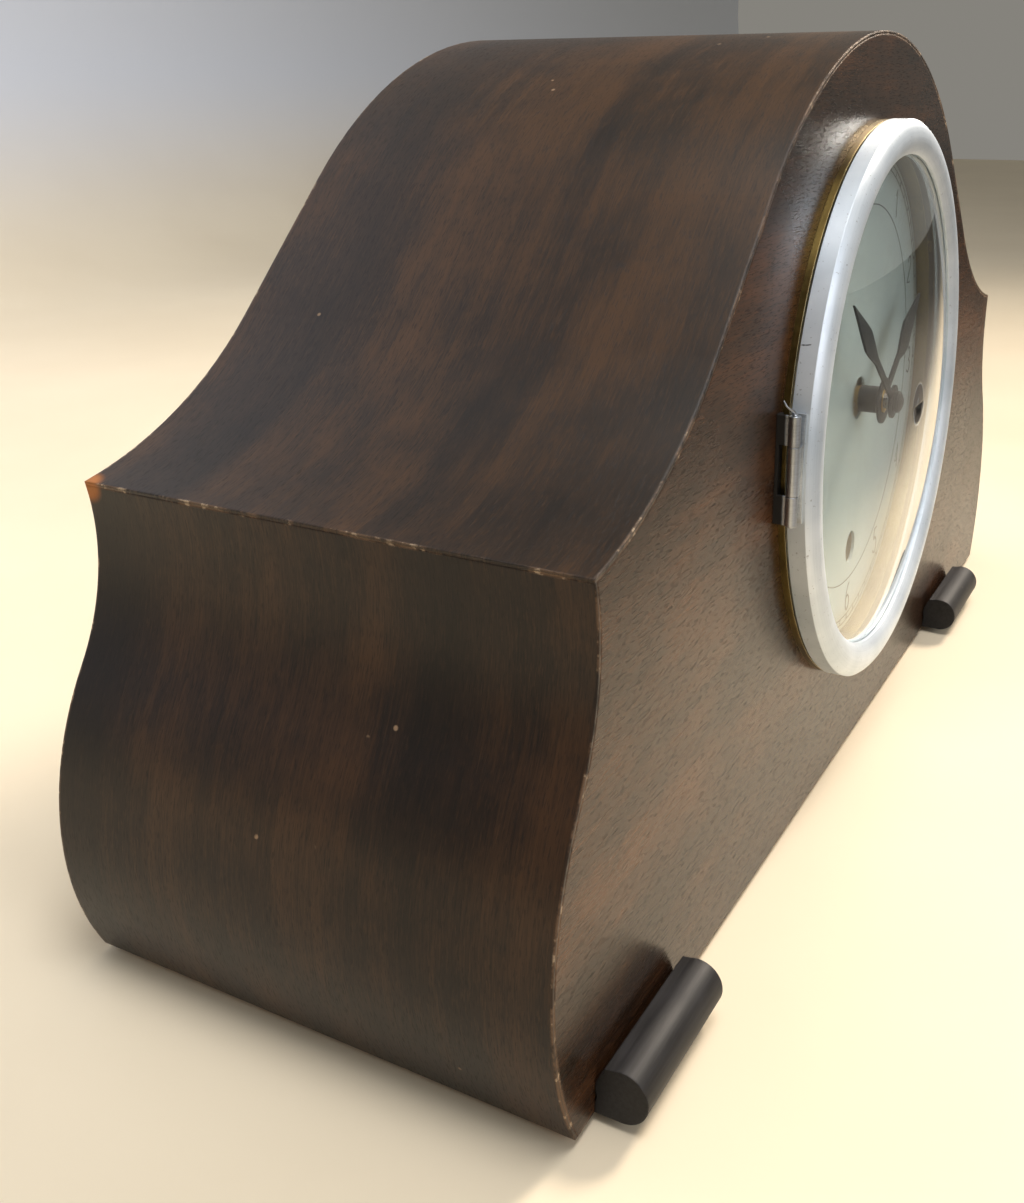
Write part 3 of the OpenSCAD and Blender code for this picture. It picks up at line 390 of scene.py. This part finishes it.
def satin_silver(name):
    """Silvered brass turned on a lathe: fine marks round the dial centre and faint stains."""
    look = Look(name, Metallic=0.5)
    x, z, radius = look.round_the_dial()
    turned = {0: look.times(radius, 2600), 1: look.times(x, 18), 2: look.times(z, 18)}
    marks = look.noise(look.add("ShaderNodeCombineXYZ", turned).outputs[0], 1.0, detail=2, rough=0.6)
    cloud = look.noise(look.place, 38, detail=4, rough=0.55)
    colour = look.ramp(look.plus(look.times(cloud, 0.8), look.times(marks, 0.2)),
                       (0.3, tint("#c6d2dc")), (0.65, tint("#edf5fc")))
    freckles = look.remap(look.noise(look.place, 1300, detail=2), 0.67, 0.74)
    colour = look.blend(look.times(freckles, 0.35), colour, tint("#4b463f"))
    crack = crack_mask(look, *BEZEL_CRACK)
    look.use("Base Color", look.blend(crack, colour, tint("#0c0b0a")))
    look.use("Roughness", look.plus(0.36, look.plus(look.times(cloud, 0.12), look.times(marks, 0.06))))
    look.bump(marks, 0.008 * MM, 0.5, look.round_edge(0.25 * MM, 4))
    return look.material


# ---- dial, hands and glass ----


def dial_paint(name):
    """Silvered cream dial with age blooms and a darker rim."""
    look = Look(name, Metallic=0.4, Coat_Weight=0.2, Coat_Roughness=0.2)
    cloud = look.noise(look.place, 28, detail=5, rough=0.6)
    colour = look.ramp(cloud, (0.3, tint("#a9b5b3")), (0.7, tint("#c0cbc8")))
    blooms = look.remap(look.noise(look.place, 110, detail=5, rough=0.65), 0.52, 0.75)
    colour = look.blend(look.times(blooms, 0.25), colour, tint("#8f8d78"))
    radius = look.round_the_dial()[2]
    rim = look.remap(radius, 60 * MM, 67 * MM)
    colour = look.blend(look.times(rim, 0.35), colour, tint("#7d785f"))
    spotted = look.remap(look.noise(look.place, 60, detail=2), 0.6, 0.64)
    spots = look.specks(260, 0.03, 0.09, spotted)
    colour = look.blend(look.times(spots, 0.6), colour, tint("#5c533d"))
    look.use("Base Color", colour)
    look.use("Roughness", look.plus(0.34, look.times(cloud, 0.14)))
    look.bump(look.noise(look.place, 1800, detail=2), 0.01 * MM, 0.4)
    return look.material


def lacquer_black(name):
    """Black lacquer on steel, dulled and rubbed on its edges."""
    look = Look(name, Coat_Weight=0.1, Coat_Roughness=0.3, Specular_IOR_Level=0.25)
    cloud = look.noise(look.place, 180, detail=4)
    colour = look.ramp(cloud, (0.3, tint("#0b0c0e")), (0.7, tint("#1d2025")))
    edge = look.edge_mask(look.round_edge(0.15 * MM, 4))
    look.use("Base Color", look.blend(look.times(edge, 0.35), colour, tint("#5d5f62")))
    look.use("Roughness", look.plus(0.38, look.times(cloud, 0.2)))
    look.bump(look.noise(look.place, 2500), 0.005 * MM, 0.4)
    return look.material


def clear_glass(name):
    """Clear glass with faint smears. Shadow rays pass straight through it, so lamps reach the dial."""
    look = Look(name, Transmission_Weight=1.0, IOR=1.5)
    look.use("Base Color", tint("#f4f9f7"))
    smears = look.noise(look.mapped((30, 30, 12)), detail=5, rough=0.6, twist=0.5)
    look.use("Roughness", look.remap(smears, 0.5, 0.8, 0.0, 0.08))
    look.bump(look.noise(look.place, 22, detail=1), 0.05 * MM, 0.3)
    clear = look.add("ShaderNodeBsdfTransparent").outputs[0]
    lamp_ray = look.add("ShaderNodeLightPath").outputs["Is Shadow Ray"]
    mix = look.add("ShaderNodeMixShader", {0: lamp_ray, 1: look.shader.outputs[0], 2: clear})
    look.feed(look.output.inputs["Surface"], mix.outputs[0])
    return look.material


def felt(name):
    """Black felt with short lint."""
    look = Look(name, Sheen_Weight=0.6, Sheen_Roughness=0.5)
    lint = look.noise(look.place, 2600, detail=3, rough=0.7)
    look.use("Base Color", look.ramp(lint, (0.3, tint("#141312")), (0.7, tint("#393632"))))
    look.use("Roughness", look.remap(lint, 0.2, 0.8, 0.8, 1.0))
    look.bump(lint, 0.15 * MM, 0.9)
    return look.material


def on_face(x, z, proud=0.0):
    """The point at x and z from the dial's centre, in millimetres, this far in front of the face."""
    return Vector((DIAL_CENTRE.x + x * MM, FRONT_Y - proud * MM, DIAL_CENTRE.z + z * MM))


# Hairlines in the front veneer and across the bezel's side wall, and half their width
VENEER_CRACK = (on_face(-90.5, 60.0), on_face(-70.0, 59.4), 0.25 * MM)
BEZEL_CRACK = (on_face(-70.9, 27.7, 2.0), on_face(-70.9, 28.0, 5.2), 0.22 * MM)

LOOKS = {
    "top_veneer": veneer("top_veneer", 1, 1.0, "#1d150e", "#2d2015", "#4a321c", 0.29, 0.46),
    "end_veneer": veneer("end_veneer", 1, 2.0, "#150f0a", "#22170f", "#3e2918", 0.30, 0.32),
    "front_veneer": veneer("front_veneer", 2, 3.0, "#20150d", "#352215", "#5a381f", 0.22, 0.24,
                           VENEER_CRACK),
    "carcass_wood": plain_wood("carcass_wood", 2, 4.0, "#7a5836", "#b48c5e", 0.55),
    "back_wood": plain_wood("back_wood", 0, 5.0, "#2e1b11", "#5b3a24", 0.42, 0.2, "#8c6a48"),
    "ebonised_wood": ebonised("ebonised_wood"),
    "pad_felt": felt("pad_felt"),
    "silver_metal": satin_silver("silver_metal"),
    # The hinge is painted dark within 2.2 mm of the case's face, as painted shade
    "hinge_silver_with_painted_shade": metal("hinge_silver_with_painted_shade", "#e4e9ee", "#aeb4b9", 0.26, (300, 300, 2200), 0.4,
                          painted_shade_depth=2.2 * MM),
    "aged_brass": metal("aged_brass", "#7d6a3c", "#4a3d22", 0.30, tarnish=0.6, arris="#d8c493"),
    "brass": metal("brass", "#b59a62", "#7f6638", 0.27),
    "plate_brass": metal("plate_brass", "#cfae6b", "#a98646", 0.28, (60, 900, 1600), 0.25),
    "steel": metal("steel", "#b9bbbd", "#85878a", 0.20, (1500, 1500, 200), 0.3, "#3b2f26"),
    "blued_steel": lacquer_black("blued_steel"),
    "dial": dial_paint("dial"),
    "dial_ink": lacquer_black("dial_ink"),
    "glass": clear_glass("glass"),
}

# Nodes that have aged differently from the rest of their slot
SPECIAL_LOOKS = {
    "bezel_base_ring": "aged_brass",
    # The hinge's look carries painted shade close to the case's face
    "bezel_hinge_fixed": "hinge_silver_with_painted_shade",
    "bezel_hinge_moving": "hinge_silver_with_painted_shade",
    "bezel_hinge_pin": "hinge_silver_with_painted_shade",
    "hand_nut": "blued_steel",
}


def dress_nodes():
    """Gives each CAD node the look of its slot in the record, or its own special look."""
    for part in frame["record"]["subparts"]:
        mesh = frame["nodes"][part["node"]].data
        mesh.materials.clear()
        mesh.materials.append(LOOKS[SPECIAL_LOOKS.get(part["node"], part["material_slot"])])


dress_nodes()

# ---- dial markings ----

INK_PROUD = 0.05 * MM
INK_SUNK = 0.02 * MM
NUMERAL_RADIUS = 59.2 * MM
NUMERAL_SIZE = (3.4 * MM, 8.0 * MM)
NUMERAL_GAP = 1.3 * MM
NUMERAL_STROKE = 0.62 * MM
CHAPTER_RADII = (53.4 * MM, 64.4 * MM, 66.2 * MM)
CHAPTER_LINE = 0.32 * MM
CHAPTER_STEPS = 180
HOUR_MARK_WIDTH = 3 * CHAPTER_LINE
MINUTES = 60
ARC_STEP_DEG = 15


def oval(x, y, half_w, half_h, start, end):
    """Points along part of an oval, from angle start to end in degrees."""
    count = max(4, round(abs(end - start) / ARC_STEP_DEG))
    angles = [math.radians(start + (end - start) * i / count) for i in range(count + 1)]
    return [(x + half_w * math.cos(a), y + half_h * math.sin(a)) for a in angles]


# Strokes of each figure in a box one wide and one high
FIGURES = {
    "0": [oval(0.5, 0.5, 0.5, 0.5, 0, 360)],
    "1": [[(0.1, 0.78), (0.5, 1), (0.5, 0)]],
    "2": [oval(0.5, 0.72, 0.5, 0.28, 165, -35) + [(0, 0), (1, 0)]],
    "3": [oval(0.45, 0.75, 0.45, 0.25, 150, -90), oval(0.45, 0.25, 0.55, 0.25, 90, -150)],
    "4": [[(0.72, 0), (0.72, 1), (0, 0.3), (1, 0.3)]],
    "5": [[(0.9, 1), (0.12, 1), (0.06, 0.56)] + oval(0.42, 0.31, 0.58, 0.31, 125, -150)],
    "6": [oval(1.0, 0.3, 1.0, 0.7, 95, 180), oval(0.5, 0.28, 0.5, 0.28, 0, 360)],
    "7": [[(0, 1), (1, 1), (0.35, 0)]],
    "8": [oval(0.5, 0.76, 0.42, 0.24, 0, 360), oval(0.5, 0.26, 0.5, 0.26, 0, 360)],
    "9": [oval(0.0, 0.7, 1.0, 0.7, -85, 0), oval(0.5, 0.72, 0.5, 0.28, 0, 360)],
}


def skin(shape, rings, looped):
    """Faces between each ring of points and the next, closed into a loop or capped at both ends."""
    spans = zip(rings, rings[1:] + rings[:1]) if looped else zip(rings, rings[1:])
    for first, second in spans:
        for i in range(len(first)):
            j = (i + 1) % len(first)
            shape.faces.new((first[i], first[j], second[j], second[i]))
    if not looped:
        shape.faces.new(rings[0][::-1])
        shape.faces.new(rings[-1])


def ribbon(shape, points, width):
    """A closed flat strip of ink along points on the dial, given as (x, z) from its centre."""
    looped = math.dist(points[0], points[-1]) < width / 10
    points = points[:-1] if looped else points
    last = len(points) - 1
    rings = []
    for i, (x, z) in enumerate(points):
        before = points[i - 1] if looped or i > 0 else points[i]
        after = points[(i + 1) % len(points)] if looped or i < last else points[i]
        run = Vector((after[0] - before[0], after[1] - before[1])).normalized()
        side = Vector((-run.y, run.x)) * width / 2
        ring = []
        for sign, depth in ((1, -INK_PROUD), (-1, -INK_PROUD), (-1, INK_SUNK), (1, INK_SUNK)):
            place = DIAL_CENTRE + Vector((x + sign * side.x, 0, z + sign * side.y))
            place.y = DIAL_FACE_Y + depth
            ring.append(shape.verts.new(place))
        rings.append(ring)
    skin(shape, rings, looped)


def finish_piece(name, shape, look, body):
    """Turns the shape into an object that rides on a body."""
    bmesh.ops.recalc_face_normals(shape, faces=shape.faces)
    mesh = bpy.data.meshes.new(name)
    shape.to_mesh(mesh)
    shape.free()
    mesh.materials.append(look)
    piece = bpy.data.objects.new(name, mesh)
    bpy.context.scene.collection.objects.link(piece)
    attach(piece, body)
    return piece


def make_numerals():
    """Upright figures 1 to 12, each centred on its hour."""
    wide, high = NUMERAL_SIZE
    shape = bmesh.new()
    for hour in range(1, 13):
        angle = math.radians(30 * hour)
        figures = str(hour)
        row = len(figures) * wide + (len(figures) - 1) * NUMERAL_GAP
        for place, figure in enumerate(figures):
            left = NUMERAL_RADIUS * math.sin(angle) - row / 2 + place * (wide + NUMERAL_GAP)
            foot = NUMERAL_RADIUS * math.cos(angle) - high / 2
            for stroke in FIGURES[figure]:
                points = [(left + x * wide, foot + y * high) for x, y in stroke]
                ribbon(shape, points, NUMERAL_STROKE)
    finish_piece("dial_numerals", shape, LOOKS["dial_ink"], "case")


def make_minute_track():
    """Three thin circles, with a stroke for each minute between the outer two."""
    shape = bmesh.new()
    turns = [math.tau * i / CHAPTER_STEPS for i in range(CHAPTER_STEPS + 1)]
    for radius in CHAPTER_RADII:
        circle = [(radius * math.cos(turn), radius * math.sin(turn)) for turn in turns]
        ribbon(shape, circle, CHAPTER_LINE)
    for minute in range(MINUTES):
        angle = math.tau * minute / MINUTES
        width = HOUR_MARK_WIDTH if minute % 5 == 0 else CHAPTER_LINE
        ends = [(radius * math.sin(angle), radius * math.cos(angle)) for radius in CHAPTER_RADII[1:]]
        ribbon(shape, ends, width)
    finish_piece("minute_track", shape, LOOKS["dial_ink"], "case")


# ---- turned details ----

TURNED_STEPS = 48

# Collet of the hour hand: its radii, then lengths along its axis, and its gap to the dial
BUSH_BORE_R = 3.45 * MM
BUSH_R = 3.75 * MM
BUSH_FLANGE_R = 4.4 * MM
BUSH_FLANGE_T = 0.6 * MM
BUSH_SLOPE_T = 0.4 * MM
BUSH_CHAMFER = 0.2 * MM
BUSH_GAP = 0.5 * MM

# The hinge pin's bent tail, as (x, z, how far in front of the face) from the dial's centre, in mm
PIN_TAIL = ((-78.4, 13.3, 4.2), (-78.8, 14.2, 4.0), (-79.8, 14.8, 3.2), (-80.4, 15.8, 2.4),
            (-79.9, 16.8, 1.8))
PIN_TAIL_R = 0.42 * MM
PIN_TAIL_TAPER = 0.08
PIN_TAIL_SIDES = 8


def turned_ring(shape, centre, profile):
    """Turns a closed profile of (radius, y) pairs round a line along Y through centre."""
    rings = []
    for i in range(TURNED_STEPS):
        angle = math.tau * i / TURNED_STEPS
        out = Vector((math.cos(angle), 0, math.sin(angle)))
        rings.append([shape.verts.new(Vector((centre.x, y, centre.z)) + out * r) for r, y in profile])
    skin(shape, rings, looped=True)


def make_hour_bush():
    """The dark collet that the hour hand is riveted to, round the brass pipe."""
    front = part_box("hour_hand")[1].y
    behind = DIAL_FACE_Y - BUSH_GAP
    profile = ((BUSH_BORE_R, front), (BUSH_FLANGE_R, front), (BUSH_FLANGE_R, front + BUSH_FLANGE_T),
               (BUSH_R, front + BUSH_FLANGE_T + BUSH_SLOPE_T), (BUSH_R, behind - BUSH_CHAMFER),
               (BUSH_R - BUSH_CHAMFER, behind), (BUSH_BORE_R, behind))
    shape = bmesh.new()
    turned_ring(shape, DIAL_CENTRE, profile)
    finish_piece("hour_hand_bush", shape, LOOKS["blued_steel"], "hour")


def make_pin_tail():
    """A bright wire that tapers off above the hinge, swept along its bends."""
    points = [on_face(*point) for point in PIN_TAIL]
    last = len(points) - 1
    shape = bmesh.new()
    rings = []
    for i, point in enumerate(points):
        along = (points[min(i + 1, last)] - points[max(i - 1, 0)]).normalized()
        across = along.orthogonal().normalized() * PIN_TAIL_R * (1 - PIN_TAIL_TAPER * i)
        turns = [Matrix.Rotation(math.tau * k / PIN_TAIL_SIDES, 3, along) for k in range(PIN_TAIL_SIDES)]
        rings.append([shape.verts.new(point + turn @ across) for turn in turns])
    skin(shape, rings, looped=False)
    piece = finish_piece("hinge_pin_tail", shape, LOOKS["steel"], "case")
    piece.modifiers.new("smooth", "SUBSURF").render_levels = 2


make_hour_bush()
make_pin_tail()
make_numerals()
make_minute_track()

# ---- stage and light ----


def area_light(name, place, aim, size, spread_deg, watts, colour):
    """A round lamp at place that faces aim."""
    data = bpy.data.lights.new(name, "AREA")
    data.shape = "DISK"
    data.size = size
    data.spread = math.radians(spread_deg)
    data.energy = watts
    data.color = tint(colour)[:3]
    lamp = bpy.data.objects.new(name, data)
    lamp.location = place
    lamp.rotation_euler = (Vector(aim) - Vector(place)).to_track_quat("-Z", "Y").to_euler()
    bpy.context.scene.collection.objects.link(lamp)


# A soft box high on the right, a broad one overhead, one from the front left and one on the wall,
# each as name, place, aim, width in metres, spread in degrees, watts and colour
LAMPS = (
    ("key", (1.5, -0.5, 1.3), (0, 0, 0.1), 0.5, 60, 4.7, "#fff1e0"),
    ("overhead", (-0.1, -0.1, 1.5), (-0.1, -0.05, 0), 1.0, 110, 2.4, "#fffaf2"),
    ("window", (-0.5, -1.7, 0.9), (-0.1, 0, 0.1), 1.2, 90, 3.1, "#f4f7ff"),
    ("wall", (-0.4, -0.3, 1.7), (-0.3, 1.1, 0.7), 0.8, 120, 13, "#fbfbff"),
)


STUDIO_TINT = "#d6d2c8"
STUDIO_STRENGTH = 0.35


def light_scene():
    """The lamps, and the even light of the room around them."""
    for lamp in LAMPS:
        area_light(*lamp)
    world = bpy.data.worlds.new("studio")
    world.use_nodes = True
    background = world.node_tree.nodes["Background"]
    background.inputs["Color"].default_value = tint(STUDIO_TINT)
    background.inputs["Strength"].default_value = STUDIO_STRENGTH
    bpy.context.scene.world = world
    bpy.context.scene.view_settings.view_transform = "Standard"


STAGE_HALF = 3.0
FLOOR_GAP = 0.02 * MM
COVE_START = 0.75
COVE_RADIUS = 0.35
COVE_STEPS = 12
WALL_HEIGHT = 2.4
# The height by which the floor's cream has turned into the wall's grey
WALL_TINT_HEIGHT = 0.22
# The floor falls into shade between these depths in front of the clock, as beyond a shelf's edge,
# and the edge of the shade runs at a slight slant to the clock's face
SHADE_FROM = FRONT_Y - 72 * MM
SHADE_TO = FRONT_Y - 190 * MM
SHADE_SLANT = -0.12


def stage_look(name):
    """Cream floor that turns into a pale grey wall behind, and into shade in front."""
    look = Look(name, Specular_IOR_Level=0.3)
    cloud = look.noise(look.place, 6, detail=4, rough=0.5)
    colour = look.ramp(cloud, (0.3, tint("#ebdcc0")), (0.7, tint("#f1e3c8")))
    height = look.remap(look.axis("Z"), 0.0, WALL_TINT_HEIGHT)
    colour = look.blend(height, colour, tint("#dfe4ee"))
    depth = look.plus(look.axis("Y"), look.times(look.axis("X"), SHADE_SLANT))
    shade = look.remap(depth, SHADE_TO, SHADE_FROM, 1, 0)
    look.use("Base Color", look.blend(look.times(shade, 0.9), colour, tint("#5f5a58")))
    look.use("Roughness", look.plus(0.40, look.times(cloud, 0.15)))
    return look.material


def make_stage():
    """A floor that sweeps up into a back wall without an edge."""
    low = CAD_BOUNDS[0][2] - FLOOR_GAP
    profile = [(-STAGE_HALF, low)]
    for i in range(COVE_STEPS + 1):
        angle = math.radians(90) * i / COVE_STEPS
        profile.append((COVE_START + COVE_RADIUS * math.sin(angle),
                        low + COVE_RADIUS * (1 - math.cos(angle))))
    profile.append((COVE_START + COVE_RADIUS, low + WALL_HEIGHT))
    shape = bmesh.new()
    sides = [[shape.verts.new((x, y, z)) for y, z in profile] for x in (-STAGE_HALF, STAGE_HALF)]
    for i in range(len(profile) - 1):
        face = shape.faces.new((sides[0][i], sides[1][i], sides[1][i + 1], sides[0][i + 1]))
        face.smooth = True
    mesh = bpy.data.meshes.new("stage")
    shape.to_mesh(mesh)
    shape.free()
    mesh.materials.append(stage_look("stage"))
    stage = bpy.data.objects.new("stage", mesh)
    bpy.context.scene.collection.objects.link(stage)


make_camera()
light_scene()
make_stage()
